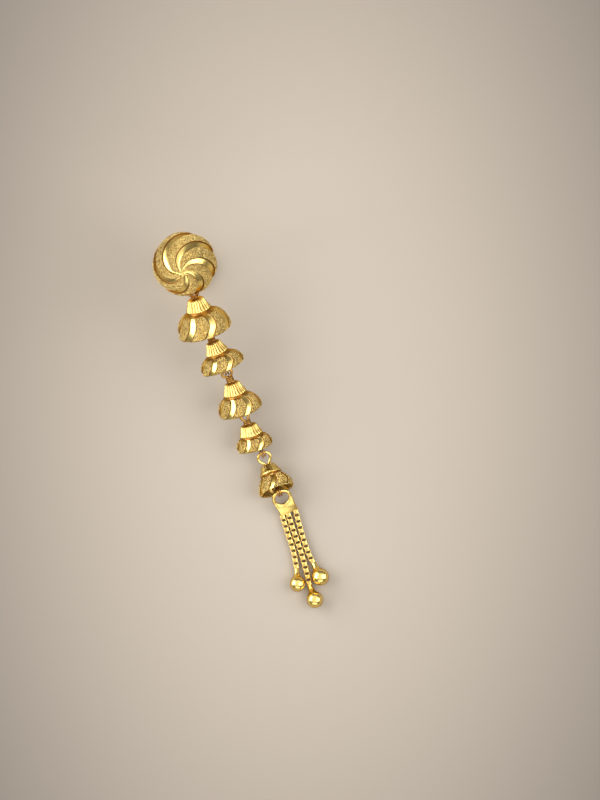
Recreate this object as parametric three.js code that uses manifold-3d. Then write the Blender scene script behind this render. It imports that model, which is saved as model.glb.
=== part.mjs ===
// Gold jhumka ear stud lying on a flat surface, in millimetres, +Z up.
// The swirled ball is at +Y, the tassel at -Y. "along" runs from the ball's centre towards -Y and
// "side" towards +X. The origin is the middle of the underside of the whole jewel's box.
import * as THREE from 'three';
import { mergeVertices } from 'three/addons/utils/BufferGeometryUtils.js';
import Module from 'manifold-3d';

const wasm = await Module();
wasm.setup();

// Driving dimensions
const BALL_RADIUS = 4.0;
const BALL_LOBES = 6;
const SWIRL_COLUMN_RELIEF = [-0.15, -0.15, 0.02, 0.06, 0.08, 0.06, 0.02];
const BALL_LEAN_SIDE_DEG = -10.1;
const BALL_LEAN_DROP_DEG = 13.8;
const SWIRL_PER_DEG = 1.2;
const SWIRL_PHASE_DEG = 51;
const SWIRL_START_DEG = 20;
const SWIRL_END_DEG = 118;
const SWIRL_FADE_DEG = 12;
const POST_RADIUS = 0.45;
const POST_DEPTH_IN_NUT = 0.66;
const NUT_APOTHEM = 3.1;
const NUT_SIDES = 8;
const NUT_THICKNESS = 1.1;
const NUT_COLLAR_RADIUS = 1.15;
const NUT_COLLAR_HEIGHT = 0.7;
const WIRE_RADIUS = 0.17;
const LOOP_RADIUS = 0.54;
const LOOP_BREADTH = 1.6;
const HOOP_BREADTH = 1.3;
const HOOP_STAND_OFF = 0.44;
const EYE_LEG_OFFSET = 0.195;
const EYE_LEG_DEPTH = 0.3;
const SHANK_RADIUS = 0.22;
const CAP_HOLE_RADIUS = 0.44;
const BELL_WALL = 0.32;
const CAP_EDGE = 0.14;
const GROOVE_DEPTH = 0.14;
const GROOVE_WIDTH = 0.3;
const PETALS = 7;
const PETAL_RELIEF = 0.07;
const FLUTE_DEPTH = 0.12;
const PETAL_COLUMN_RELIEF = [-FLUTE_DEPTH, -FLUTE_DEPTH, 0.02, PETAL_RELIEF, PETAL_RELIEF, 0.02];
const PETAL_STOPS = [0.14, 0.36, 0.64, 1];
const RIB_RELIEF = 0.05;
const PETAL_BULGE_DEG = 17;
const PETAL_HOOK_DEG = 9;
const MOUTH_TUCK = 0.06;
const MOUTH_TUCK_DEPTH = 0.22;
const RING_RADIUS = 1.1;
const RING_WIRE_RADIUS = 0.22;
const PLATE_THICKNESS = 0.5;
const PLATE_BITE_DEG = 17.5;
const STRAND_GROUND_GAP = 0.04;
const STRAND_WIDTH = 0.72;
const STRAND_PITCH = 0.42;
const STRAND_LINK_NARROW = 0.72;
const BEAD_TURN_STOPS_DEG = [48, 70, 92, 118, 148];
const FIT_GAP = 0.09;
const SLIVER = 0.006;
const BALL_STOPS_DEG = [8, 16, 25, 34, 43, 52, 61, 70, 79, 88, 98, 108, 120, 135, 150, 165];
const STIPPLED_GOLD = 0xd9a441;
const WIRE_GOLD = 0xe0b050;
const CHAIN_GOLD = 0xd2a044;

// The eye of a link from its foot to its top: a share of its half width and of its reach
const EYE_ROUTE = [
  { across: 1, up: 0.55 },
  { across: 0.86, up: 0.84 },
];

// The tassel plate's side from its shoulder to its foot: left and right of the middle, measured from
// the ring's centre for the shoulder and back from the foot for the rest
const PLATE_SHOULDER = { left: 1.28, right: 1.28, below: 0.35 };
const PLATE_WAIST = { left: 1.12, right: 1.2, above: 0.7 };
const PLATE_HEM = { left: 1.26, right: 1.26 };

// A bead's neck: how far below its top and its radius there
const BEAD_NECK = [
  { down: 0, radius: 0 },
  { down: 0, radius: 0.3 },
  { down: 0.25, radius: 0.36 },
];

// Where each link's eye hangs, along and to the side of the ball's centre
const HANG_POINTS = [
  { along: 3.4, side: -0.3 },
  { along: 8.71, side: -0.5 },
  { along: 14.52, side: -0.17 },
  { along: 20.32, side: -0.12 },
  { along: 26.13, side: 0.33 },
  { along: 31.6, side: 0.46 },
];

// One row for each bell: the middle of its cap's top and of its mouth, along and to the side, how
// steeply it slopes down, how far its petals are turned, its own shape, and half its eye's width
const BELLS = [
  { cap: [4.58, -0.4], mouth: [9.0, -0.72], slope: 18.5, turn: 6,
    wide: 3.42, capTop: 1.0, capFoot: 1.58, capHeight: 1.5, fullness: 1.1, eye: 0.58 },
  { cap: [10.52, -0.37], mouth: [14.05, -0.27], slope: 14.5, turn: 12,
    wide: 2.84, capTop: 0.85, capFoot: 1.48, capHeight: 1.5, fullness: 1.5, eye: 0.5 },
  { cap: [16.32, -0.04], mouth: [20.15, -0.25], slope: 16.5, turn: 15,
    wide: 2.82, capTop: 0.9, capFoot: 1.5, capHeight: 1.45, fullness: 1.7, eye: 0.62 },
  { cap: [22.13, -0.03], mouth: [25.2, -0.25], slope: 13.5, turn: 14,
    wide: 2.3, capTop: 1.0, capFoot: 1.5, capHeight: 1.3, fullness: 1.6, eye: 0.5 },
  { cap: [27.93, 0.36], mouth: [31.42, 0.34], slope: -15, turn: -12,
    wide: 2.26, capTop: 0.92, capFoot: 1.42, capHeight: 1.25, fullness: 2.2, eye: 0.78 },
];
const FIRST_BELL_ON_SURFACE = 3;

// The tassel plate's foot, and each strand's route and bead
const PLATE_FOOT = { along: 34.6, side: 0.72 };
const STRANDS = [
  { route: [[34.86, -0.28], [36.8, -0.44], [39.35, -0.59], [41.42, -0.99]],
    neck: [41.62, -1.05], bead: [43.55, -1.63], radius: 1.0 },
  { route: [[34.86, 0.53], [36.8, 0.4], [39.35, 0.3], [41.42, 0.13], [44.0, -0.22]],
    neck: [44.2, -0.26], bead: [46.26, -0.32], radius: 1.06 },
  { route: [[34.86, 1.56], [36.8, 1.33], [39.35, 1.14], [40.65, 1.12], [41.5, 1.2]],
    neck: [41.7, 1.24], bead: [43.8, 1.42], radius: 1.1 },
];

const radians = THREE.MathUtils.degToRad;
const UP = new THREE.Vector3(0, 0, 1);

function place(spot, height) {
  const [along, side] = Array.isArray(spot) ? spot : [spot.along, spot.side];
  return new THREE.Vector3(side, -along, height);
}

// Closed meshes, joins and cuts

function signedVolume(geometry) {
  const corners = [new THREE.Vector3(), new THREE.Vector3(), new THREE.Vector3()];
  const { index, attributes } = geometry;
  let total = 0;
  for (let i = 0; i < index.count; i += 3) {
    corners.forEach((corner, k) => corner.fromBufferAttribute(attributes.position, index.getX(i + k)));
    total += corners[0].dot(corners[1].clone().cross(corners[2]));
  }
  return total / 6;
}

function facingOut(geometry) {
  if (signedVolume(geometry) < 0) {
    const order = geometry.index.array;
    for (let i = 0; i < order.length; i += 3) [order[i], order[i + 1]] = [order[i + 1], order[i]];
  }
  return geometry;
}

// A skin through rings of points. It closes on itself, or ends in a point at each end.
function skin(rings, tips) {
  const columns = rings[0].length;
  const points = rings.flat();
  const faces = [];
  const bands = tips ? rings.length - 1 : rings.length;
  for (let i = 0; i < bands; i += 1) {
    const next = (i + 1) % rings.length;
    for (let j = 0; j < columns; j += 1) {
      const k = (j + 1) % columns;
      const [a, b, c, d] = [i * columns + j, i * columns + k, next * columns + k, next * columns + j];
      faces.push(a, b, c, a, c, d);
    }
  }
  if (tips) {
    const last = (rings.length - 1) * columns;
    points.push(...tips);
    for (let j = 0; j < columns; j += 1) {
      const k = (j + 1) % columns;
      faces.push(points.length - 2, k, j, points.length - 1, last + j, last + k);
    }
  }
  const geometry = new THREE.BufferGeometry().setFromPoints(points);
  geometry.setIndex(faces);
  return facingOut(geometry);
}

function toSolid(geometry) {
  const bare = geometry.clone();
  bare.deleteAttribute('normal');
  bare.deleteAttribute('uv');
  const merged = mergeVertices(bare, 1e-5);
  return new wasm.Manifold(new wasm.Mesh({
    numProp: 3,
    vertProperties: new Float32Array(merged.attributes.position.array),
    triVerts: new Uint32Array(merged.index.array),
  }));
}

function toGeometry(solid) {
  const mesh = solid.getMesh();
  const geometry = new THREE.BufferGeometry();
  geometry.setAttribute('position', new THREE.BufferAttribute(new Float32Array(mesh.vertProperties), 3));
  geometry.setIndex(new THREE.BufferAttribute(new Uint32Array(mesh.triVerts), 1));
  return geometry;
}

// Corners of a join that lie closer than the tolerance become one, and the faces between them go
function withoutSlivers(geometry) {
  const merged = mergeVertices(geometry, SLIVER);
  const order = merged.index.array;
  const kept = [];
  for (let i = 0; i < order.length; i += 3) {
    const [a, b, c] = order.slice(i, i + 3);
    if (a !== b && b !== c && c !== a) kept.push(a, b, c);
  }
  merged.setIndex(kept);
  return merged;
}

function joined(geometries) {
  return withoutSlivers(toGeometry(geometries.map(toSolid).reduce((all, solid) => all.add(solid))));
}

// Basic wire work

// A frame at a point whose third axis looks at another point and whose first axis is level
function frameTowards(from, to) {
  const axis = to.clone().sub(from).normalize();
  const level = new THREE.Vector3().crossVectors(UP, axis).normalize();
  if (level.lengthSq() === 0) level.set(1, 0, 0);
  const third = new THREE.Vector3().crossVectors(axis, level);
  return new THREE.Matrix4().makeBasis(level, third, axis).setPosition(from);
}

function circleShape(radius, sides) {
  const corners = [];
  for (let i = 0; i < sides; i += 1) {
    const turn = (i / sides) * 2 * Math.PI;
    corners.push(new THREE.Vector2(radius * Math.cos(turn), radius * Math.sin(turn)));
  }
  return new THREE.Shape(corners);
}

function wire(points, steps, radius = WIRE_RADIUS, sides = 6) {
  const path = new THREE.CatmullRomCurve3(points);
  return new THREE.ExtrudeGeometry(circleShape(radius, sides), { extrudePath: path, steps });
}

function rod(from, to, radius, sides) {
  const length = from.distanceTo(to);
  const geometry = new THREE.CylinderGeometry(radius, radius, length, sides);
  geometry.rotateX(Math.PI / 2).translate(0, 0, length / 2);
  return geometry.applyMatrix4(frameTowards(from, to));
}

// A round loop standing upright in the drop's own plane, broad as a doubled wire is
function uprightLoop(centre, towards, breadth = LOOP_BREADTH) {
  const loop = new THREE.TorusGeometry(LOOP_RADIUS, WIRE_RADIUS, 6, 14);
  loop.rotateY(Math.PI / 2).scale(breadth, 1, 1);
  return loop.applyMatrix4(frameTowards(towards, centre).setPosition(centre));
}

// Heights: bells four and five lie on the surface, and the rest climb from there to the ball

function bellLength(bell) {
  return (bell.mouth[0] - bell.cap[0]) / Math.cos(radians(bell.slope));
}

// The height of the mouth's middle when the bell's lowest point touches the surface
function restingMouthHeight(bell) {
  const slope = radians(bell.slope);
  const length = bellLength(bell);
  return Math.max(...bellProfile(bell).map((row) => {
    const radius = row.radius + (row.petal ?? 0) * PETAL_RELIEF;
    return radius * Math.cos(slope) - (length - row.depth) * Math.sin(slope);
  }));
}

for (let n = BELLS.length - 1; n >= 0; n -= 1) {
  const bell = BELLS[n];
  const next = BELLS[n + 1];
  bell.mouthLevel = n >= FIRST_BELL_ON_SURFACE
    ? restingMouthHeight(bell)
    : next.capLevel + (next.cap[0] - bell.mouth[0]) * Math.tan(radians((bell.slope + next.slope) / 2));
  bell.capLevel = bell.mouthLevel + (bell.mouth[0] - bell.cap[0]) * Math.tan(radians(bell.slope));
  bell.capPoint = place(bell.cap, bell.capLevel);
  bell.axis = place(bell.mouth, bell.mouthLevel).sub(bell.capPoint).normalize();
}

// A link hangs on the axis of the bell above it, and the first one on that of its own bell
const hangPoints = HANG_POINTS.map((spot, n) => {
  const bell = BELLS[n < BELLS.length - 1 ? n : n - 1];
  return place(spot, bell.capLevel - (spot.along - bell.cap[0]) * Math.tan(radians(bell.slope)));
});

const firstHang = hangPoints[0];
const hoopReach = BALL_RADIUS + HOOP_STAND_OFF;
const ballLevel = firstHang.z + Math.sqrt(hoopReach ** 2 - firstHang.x ** 2 - firstHang.y ** 2);
const ballCentre = new THREE.Vector3(0, 0, ballLevel);

// The swirl's pole leans to one side and towards the drop, while the post stands upright
const pole = new THREE.Vector3(
  Math.sin(radians(BALL_LEAN_SIDE_DEG)), -Math.sin(radians(BALL_LEAN_DROP_DEG)), 0);
pole.z = Math.sqrt(1 - pole.lengthSq());
const poleEast = new THREE.Vector3(0, 1, 0).cross(pole).normalize();
const poleNorth = new THREE.Vector3().crossVectors(pole, poleEast);

// Ball, post and hoop

function swirledBall() {
  const relief = SWIRL_COLUMN_RELIEF;
  const columns = BALL_LOBES * relief.length;
  const at = (polarDeg, azimuthDeg, radius) => {
    const polar = radians(polarDeg);
    const azimuth = radians(azimuthDeg);
    return ballCentre.clone()
      .addScaledVector(pole, radius * Math.cos(polar))
      .addScaledVector(poleEast, radius * Math.sin(polar) * Math.cos(azimuth))
      .addScaledVector(poleNorth, radius * Math.sin(polar) * Math.sin(azimuth));
  };
  const rings = BALL_STOPS_DEG.map((polarDeg) => {
    const fade = Math.min(1, polarDeg / SWIRL_START_DEG)
      * THREE.MathUtils.clamp((SWIRL_END_DEG - polarDeg) / SWIRL_FADE_DEG, 0, 1);
    const twist = SWIRL_PER_DEG * Math.min(polarDeg, SWIRL_END_DEG);
    return Array.from({ length: columns }, (_, j) => {
      const radius = BALL_RADIUS + relief[j % relief.length] * fade;
      return at(polarDeg, SWIRL_PHASE_DEG + (j / columns) * 360 - twist, radius);
    });
  });
  return skin(rings, [at(0, 0, BALL_RADIUS), at(180, 0, BALL_RADIUS)]);
}

function onPost(height) {
  return new THREE.Vector3(0, 0, height);
}

function ballStud() {
  const foot = NUT_THICKNESS - POST_DEPTH_IN_NUT;
  const post = rod(onPost(foot), onPost(ballLevel - BALL_RADIUS + 1), POST_RADIUS, 12);
  return joined([swirledBall(), post, uprightLoop(firstHang, ballCentre, HOOP_BREADTH)]);
}

// The nut is an eight-sided plate with a round collar, lying flat under the ball
function screwBack() {
  const collarTop = NUT_THICKNESS + NUT_COLLAR_HEIGHT;
  const plate = rod(onPost(0), onPost(NUT_THICKNESS), NUT_APOTHEM / Math.cos(Math.PI / NUT_SIDES), NUT_SIDES);
  plate.rotateZ(Math.PI / NUT_SIDES);
  const collar = rod(onPost(NUT_THICKNESS / 2), onPost(collarTop), NUT_COLLAR_RADIUS, 14);
  const boreFoot = NUT_THICKNESS - POST_DEPTH_IN_NUT - FIT_GAP;
  const bore = rod(onPost(boreFoot), onPost(collarTop + 1), POST_RADIUS + FIT_GAP, 12);
  return toGeometry(toSolid(plate).add(toSolid(collar)).subtract(toSolid(bore)));
}

// Bells: a ribbed cap, a groove and a skirt of raised petals between smooth flutes, one hollow shell

function skirtRadius(bell, share) {
  const quadrant = Math.sqrt(1 - (1 - share) ** 2);
  return bell.capFoot + 0.04 + (bell.wide - bell.capFoot - 0.04) * quadrant ** bell.fullness;
}

// One row for each ring of the shell: how deep below the cap's top, its radius and its relief
function bellProfile(bell) {
  const length = bellLength(bell);
  const grooveRadius = bell.capFoot - GROOVE_DEPTH;
  const skirtTop = bell.capHeight + GROOVE_WIDTH;
  const widest = length - MOUTH_TUCK_DEPTH;
  const down = (share) => skirtTop + (widest - skirtTop) * share;
  const skirt = PETAL_STOPS.map((share) => ({
    depth: down(share), radius: skirtRadius(bell, share), petal: 1,
  }));
  const lining = PETAL_STOPS.slice(1, 3).reverse().map((share) => ({
    depth: down(share), radius: skirtRadius(bell, share) - FLUTE_DEPTH - BELL_WALL,
  }));
  return [
    { depth: 0, radius: CAP_HOLE_RADIUS },
    { depth: 0, radius: bell.capTop - 0.1 },
    { depth: CAP_EDGE, radius: bell.capTop + 0.04, rib: 1 },
    { depth: bell.capHeight, radius: bell.capFoot, rib: 1 },
    { depth: bell.capHeight + GROOVE_WIDTH / 2, radius: grooveRadius },
    ...skirt,
    { depth: length, radius: bell.wide - MOUTH_TUCK, petal: 0.4 },
    { depth: length, radius: bell.wide - MOUTH_TUCK - BELL_WALL },
    { depth: widest, radius: bell.wide - FLUTE_DEPTH - BELL_WALL },
    ...lining,
    { depth: down(PETAL_STOPS[0]), radius: grooveRadius - BELL_WALL },
    { depth: bell.capHeight * 0.75, radius: bell.capFoot - BELL_WALL * 2 },
    { depth: BELL_WALL, radius: CAP_HOLE_RADIUS },
  ];
}

function bellShell(bell) {
  const columns = PETALS * PETAL_COLUMN_RELIEF.length;
  const right = new THREE.Vector3().crossVectors(UP, bell.axis).normalize();
  const top = new THREE.Vector3().crossVectors(bell.axis, right);
  const length = bellLength(bell);
  const rings = bellProfile(bell).map((row) => {
    const share = THREE.MathUtils.clamp((row.depth - bell.capHeight) / (length - bell.capHeight), 0, 1);
    const bulge = row.petal ? PETAL_BULGE_DEG * Math.sin(Math.PI * share ** 0.8) - PETAL_HOOK_DEG * share : 0;
    return Array.from({ length: columns }, (_, j) => {
      const turn = radians(bell.turn + bulge + (j / columns) * 360);
      const relief = (row.petal ?? 0) * PETAL_COLUMN_RELIEF[j % PETAL_COLUMN_RELIEF.length]
        + (row.rib ?? 0) * (j % 2 ? RIB_RELIEF : -RIB_RELIEF);
      const radius = row.radius + relief;
      return bell.capPoint.clone()
        .addScaledVector(bell.axis, row.depth)
        .addScaledVector(top, radius * Math.cos(turn))
        .addScaledVector(right, radius * Math.sin(turn));
    });
  });
  return skin(rings);
}

// Wire links: a drop-shaped eye above the cap and an upright loop in the mouth below it

function bellLink(bell, above, below) {
  const capPoint = bell.capPoint;
  const reach = above.distanceTo(capPoint);
  const leg = [[EYE_LEG_OFFSET, -EYE_LEG_DEPTH], [EYE_LEG_OFFSET, 0.05]];
  const side = [...leg, ...EYE_ROUTE.map(({ across, up }) => [bell.eye * across, reach * up])];
  const otherSide = side.map(([x, z]) => [-x, z]).reverse();
  const frame = frameTowards(capPoint, above);
  const eyeRoute = [...side, [0, reach], ...otherSide];
  const eye = wire(eyeRoute.map(([x, z]) => new THREE.Vector3(x, 0, z).applyMatrix4(frame)), 18);
  const loopEdge = below.clone().addScaledVector(
    below.clone().sub(capPoint).normalize(), -LOOP_RADIUS);
  const shankTop = capPoint.clone().addScaledVector(above.clone().sub(capPoint).normalize(), 0.05);
  const shank = rod(shankTop, loopEdge, SHANK_RADIUS, 6);
  return joined([eye, shank, uprightLoop(below, capPoint)]);
}

// Tassel ring with its fan-shaped plate

const plateFoot = place(PLATE_FOOT, STRAND_WIDTH / 2 + STRAND_GROUND_GAP);
const ringFrame = frameTowards(hangPoints[5], plateFoot);

function tasselRing() {
  const ring = new THREE.TorusGeometry(RING_RADIUS, RING_WIRE_RADIUS, 6, 16);
  ring.rotateX(Math.PI / 2).translate(0, 0, RING_RADIUS);
  const reach = hangPoints[5].distanceTo(plateFoot);
  const outline = new THREE.Shape();
  const bite = radians(PLATE_BITE_DEG);
  outline.moveTo(-PLATE_SHOULDER.left, RING_RADIUS + PLATE_SHOULDER.below);
  outline.lineTo(-PLATE_WAIST.left, reach - PLATE_WAIST.above);
  outline.lineTo(-PLATE_HEM.left, reach);
  outline.lineTo(PLATE_HEM.right, reach);
  outline.lineTo(PLATE_WAIST.right, reach - PLATE_WAIST.above);
  outline.lineTo(PLATE_SHOULDER.right, RING_RADIUS + PLATE_SHOULDER.below);
  outline.absarc(0, RING_RADIUS, RING_RADIUS, bite, Math.PI - bite, false);
  const plate = new THREE.ExtrudeGeometry(outline, {
    depth: PLATE_THICKNESS, bevelEnabled: false, curveSegments: 8,
  });
  plate.translate(0, 0, -PLATE_THICKNESS / 2).rotateX(Math.PI / 2);
  return joined([ring, plate]).applyMatrix4(ringFrame);
}

// Box chain: links that are by turns wide and tall, soldered into one strand

function chainStrand(strand) {
  const level = STRAND_WIDTH / 2;
  const route = new THREE.CatmullRomCurve3(strand.route.map((spot) => place(spot, level)));
  const count = Math.round(route.getLength() / STRAND_PITCH);
  const links = [];
  for (let i = 0; i < count; i += 1) {
    const share = (i + 0.5) / count;
    const centre = route.getPointAt(share);
    const ahead = centre.clone().add(route.getTangentAt(share));
    const link = i % 2 === 0
      ? new THREE.BoxGeometry(STRAND_WIDTH, STRAND_WIDTH * STRAND_LINK_NARROW, STRAND_PITCH * 0.86)
      : new THREE.BoxGeometry(STRAND_WIDTH * STRAND_LINK_NARROW, STRAND_WIDTH, STRAND_PITCH * 1.2);
    links.push(link.applyMatrix4(frameTowards(centre, ahead)));
  }
  return joined(links);
}

// Beads: a ball drawn out into a neck that takes the strand's last link

function endBead(strand) {
  const neck = place(strand.neck, STRAND_WIDTH / 2);
  const bead = place(strand.bead, strand.radius);
  const length = neck.distanceTo(bead);
  const profile = BEAD_NECK.map(({ down, radius }) => new THREE.Vector2(radius, down));
  for (const fromNeck of BEAD_TURN_STOPS_DEG) {
    const turn = radians(fromNeck);
    profile.push(new THREE.Vector2(strand.radius * Math.sin(turn), length - strand.radius * Math.cos(turn)));
  }
  profile.push(new THREE.Vector2(0, length + strand.radius));
  const turned = new THREE.LatheGeometry(profile, 12).rotateX(Math.PI / 2);
  return turned.applyMatrix4(frameTowards(neck, bead));
}

// The jewel

const root = new THREE.Group();
const jewel = new THREE.Group();
root.add(jewel);

function add(name, geometry, color, roughness) {
  const material = new THREE.MeshStandardMaterial({ color, roughness, metalness: 1 });
  const mesh = new THREE.Mesh(geometry, material);
  mesh.name = name;
  jewel.add(mesh);
}

add('ball_stud', ballStud(), STIPPLED_GOLD, 0.3);
add('screw_back', screwBack(), CHAIN_GOLD, 0.3);
BELLS.forEach((bell, n) => {
  add(`bell_${n + 1}`, bellShell(bell), STIPPLED_GOLD, 0.32);
  add(`bell_link_${n + 1}`, bellLink(bell, hangPoints[n], hangPoints[n + 1]), WIRE_GOLD, 0.22);
});
add('tassel_ring', tasselRing(), WIRE_GOLD, 0.25);
STRANDS.forEach((strand, n) => {
  add(`chain_strand_${n + 1}`, chainStrand(strand), CHAIN_GOLD, 0.28);
  add(`end_bead_${n + 1}`, endBead(strand), STIPPLED_GOLD, 0.25);
});

const box = new THREE.Box3().setFromObject(jewel, true);
const middle = box.getCenter(new THREE.Vector3());
jewel.position.set(-middle.x, -middle.y, -box.min.z);

export default root;
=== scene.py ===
# A gold jhumka ear stud lying on a pale surface, in metres, +Z up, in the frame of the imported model.
import math

import bpy
from bpy.props import FloatProperty, FloatVectorProperty, IntProperty, PointerProperty
from mathutils import Matrix, Vector


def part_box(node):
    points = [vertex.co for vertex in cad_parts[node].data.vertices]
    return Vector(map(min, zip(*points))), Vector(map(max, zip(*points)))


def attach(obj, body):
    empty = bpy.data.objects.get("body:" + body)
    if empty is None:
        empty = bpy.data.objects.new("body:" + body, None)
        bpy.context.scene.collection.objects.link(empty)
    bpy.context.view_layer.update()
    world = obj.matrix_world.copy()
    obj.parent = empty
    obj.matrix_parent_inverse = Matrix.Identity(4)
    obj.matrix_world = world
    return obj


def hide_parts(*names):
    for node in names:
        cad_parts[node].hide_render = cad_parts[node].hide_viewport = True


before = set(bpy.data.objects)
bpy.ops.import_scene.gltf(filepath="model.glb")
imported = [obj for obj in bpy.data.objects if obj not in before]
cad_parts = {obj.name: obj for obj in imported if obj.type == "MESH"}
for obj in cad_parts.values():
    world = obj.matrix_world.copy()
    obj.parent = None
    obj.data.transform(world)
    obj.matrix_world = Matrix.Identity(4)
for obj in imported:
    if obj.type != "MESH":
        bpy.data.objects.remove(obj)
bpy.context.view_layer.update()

bl_info = {
    "name": "Jhumka Ear Stud",
    "version": (1, 0, 0),
    "blender": (4, 5, 0),
    "location": "3D View > Sidebar > Jhumka",
    "description": "Makes a swirled ball stud with a drop of petalled bells and a tassel of box chains",
    "category": "Add Mesh",
}

MM = 0.001
FULL_TURN = 2 * math.pi
UP = Vector((0, 0, 1))

# The tables' zero lies under the ball, at the middle of the nut
NUT_LOW, NUT_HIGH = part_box("screw_back")
ZERO = Vector(((NUT_LOW.x + NUT_HIGH.x) / 2, (NUT_LOW.y + NUT_HIGH.y) / 2, 0))

# Sizes below are in millimetres and angles in degrees. A point is how far it lies along the drop from
# the ball's centre, how far to the side, and how high above the surface.
BALL = {
    "centre": (0, 0, 11.361), "radius": 4.0, "lobes": 6, "lean_side": -10.1, "lean_drop": 13.8,
    "swirl": 1.2, "phase": 51, "end": 118,
}

# Where each loop hangs in the next eye, from the ball's hoop to the tassel's ring
HANGS = [
    (3.4, -0.3, 8.522), (8.71, -0.5, 6.666), (14.52, -0.17, 5.188),
    (20.32, -0.12, 3.425), (26.13, 0.33, 2.03), (31.6, 0.46, 2.418),
]

# Turn is that of the petals, wide the mouth's radius, and neck the share of the way up to the loop
# above that is wrapped. Eye is the eye's half width, and eye_at the share of the rest at which it is widest.
# The last column is the share of painted shade, for the shade between the bells, on the bell's eye and its
# wrapping.
BELL_SIZES = (
    "cap", "mouth", "turn", "wide", "cap_top", "cap_foot", "cap_height", "fullness", "ribbing",
    "eye", "eye_at", "neck", "wire_shade",
)
BELLS = [dict(zip(BELL_SIZES, row)) for row in (
    ((4.58, -0.4, 8.127), (9.0, -0.72, 6.648), 6, 3.42, 1.0, 1.58, 1.5, 1.1, 1.0, 0.58, 0.38, 0.28, 1.0),
    ((10.52, -0.37, 6.198), (14.05, -0.27, 5.285), 12, 2.84, 0.85, 1.48, 1.5, 1.5, 1.0, 0.5, 0.4, 0.4, 1.0),
    ((16.32, -0.04, 4.655), (20.15, -0.25, 3.521), 15, 2.82, 0.9, 1.5, 1.45, 1.7, 1.0, 0.62, 0.4, 0.45, 0.8),
    ((22.13, -0.03, 2.99), (25.2, -0.25, 2.253), 14, 2.3, 1.0, 1.5, 1.3, 1.6, 0.8, 0.5, 0.45, 0.3, 0.8),
    ((27.93, 0.36, 1.435), (31.42, 0.34, 2.37), -12, 2.26, 0.92, 1.42, 1.25, 2.2, 0.2, 0.78, 0.53, 0.0, 0.0),
)]
PLATE_FOOT = (34.6, 0.72, 0.4)
STRANDS = [
    {"route": [(34.86, -0.28), (36.8, -0.44), (39.35, -0.59), (41.42, -0.99)],
     "neck": (41.62, -1.05), "bead": (43.55, -1.63), "radius": 1.0},
    {"route": [(34.86, 0.53), (36.8, 0.4), (39.35, 0.3), (41.42, 0.13), (44.0, -0.22)],
     "neck": (44.2, -0.26), "bead": (46.26, -0.32), "radius": 1.06},
    {"route": [(34.86, 1.56), (36.8, 1.33), (39.35, 1.14), (40.65, 1.12), (41.5, 1.2)],
     "neck": (41.7, 1.24), "bead": (43.8, 1.42), "radius": 1.1},
]
CAP_HOLE = 0.44
GROOVE_DEPTH = 0.14
GROOVE_WIDTH = 0.3
MOUTH_TUCK = 0.06
MOUTH_TUCK_DEPTH = 0.22
LOOP_RADIUS = 0.54
NECK_HALF = 0.19
RING_RADIUS = 1.1
RING_WIRE = 0.22
PLATE_THICKNESS = 0.5
STRAND_LEVEL = 0.36
POST_RADIUS = 0.45
POST_FOOT = 0.44
POST_TOP = 7.6
NUT_APOTHEM = 3.1
NUT_THICKNESS = 1.1
COLLAR_RADIUS = 1.15
COLLAR_TOP = 1.8
BORE_RADIUS = 0.54
BORE_FOOT = 0.35

# How finely the skins are divided
BALL_RINGS = 144
COLUMNS_PER_LOBE = 54
COLUMNS_PER_PETAL = 36
SKIRT_RINGS = 42

# The relief between two flutes, as shares of the step from one to the next
FLUTE_WALL = 0.014
# The seam is a painted shade line along the edge of each petal or lobe: its inset from the wall, where it is
# fully dark, and where it has faded.
SEAM_INSET, SEAM_CORE, SEAM_EDGE = 0.004, 0.008, 0.045
BALL_FLUTE_AT, BELL_FLUTE_AT = 0.0714, 0.0833
FLUTE_CAMBER, PETAL_CAMBER = 0.3, 0.8
STIPPLE_CONTRAST = 3.2

# The photograph looks straight down, turned so that the drop runs to the lower right. In metres.
VIEW_TURN = math.radians(-21.5)
VIEW_RIGHT = Vector((math.cos(VIEW_TURN), math.sin(VIEW_TURN), 0))
VIEW_UP = Vector((-math.sin(VIEW_TURN), math.cos(VIEW_TURN), 0))
VIEW_CENTRE = (7.413 * MM, 0)
VIEW_HEIGHT = 103.2 * MM
SENSOR = 36

# The surface has a painted pool of light round the view's centre, darker towards its edges, and lies just
# below the lowest petal
POOL_WIDTH = 52 * MM
POOL_HEIGHT = 90 * MM
POOL_RIM = 0.08
SURFACE_HALF = 1.2
SURFACE_LEVEL = -0.06 * MM

# How far to the picture's right and top and how high each light hangs, and its width and height
LIGHTS = {
    "window": (-0.42, 0.12, 0.24, 0.6, 0.4),
    "side": (0.4, 0.02, 0.36, 0.44, 0.5),
    "foot": (0, -0.42, 0.24, 0.5, 0.26),
    "overhead": (0, 0.12, 0.6, 1.3, 1.15),
}


# Settings that a user would change

def length(name, description, millimetres):
    return FloatProperty(name=name, description=description, default=millimetres * MM,
                         min=0, precision=5, subtype="DISTANCE", unit="LENGTH")


def count(name, description, value, most):
    return IntProperty(name=name, description=description, default=value, min=3, max=most)


def share(name, description, value):
    return FloatProperty(name=name, description=description, default=value, min=0, max=1, subtype="FACTOR")


def brightness(name, description, value):
    return FloatProperty(name=name, description=description, default=value, min=0)


def colour(name, description, value):
    return FloatVectorProperty(name=name, description=description, default=value, min=0, max=1,
                               size=3, subtype="COLOR")


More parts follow.
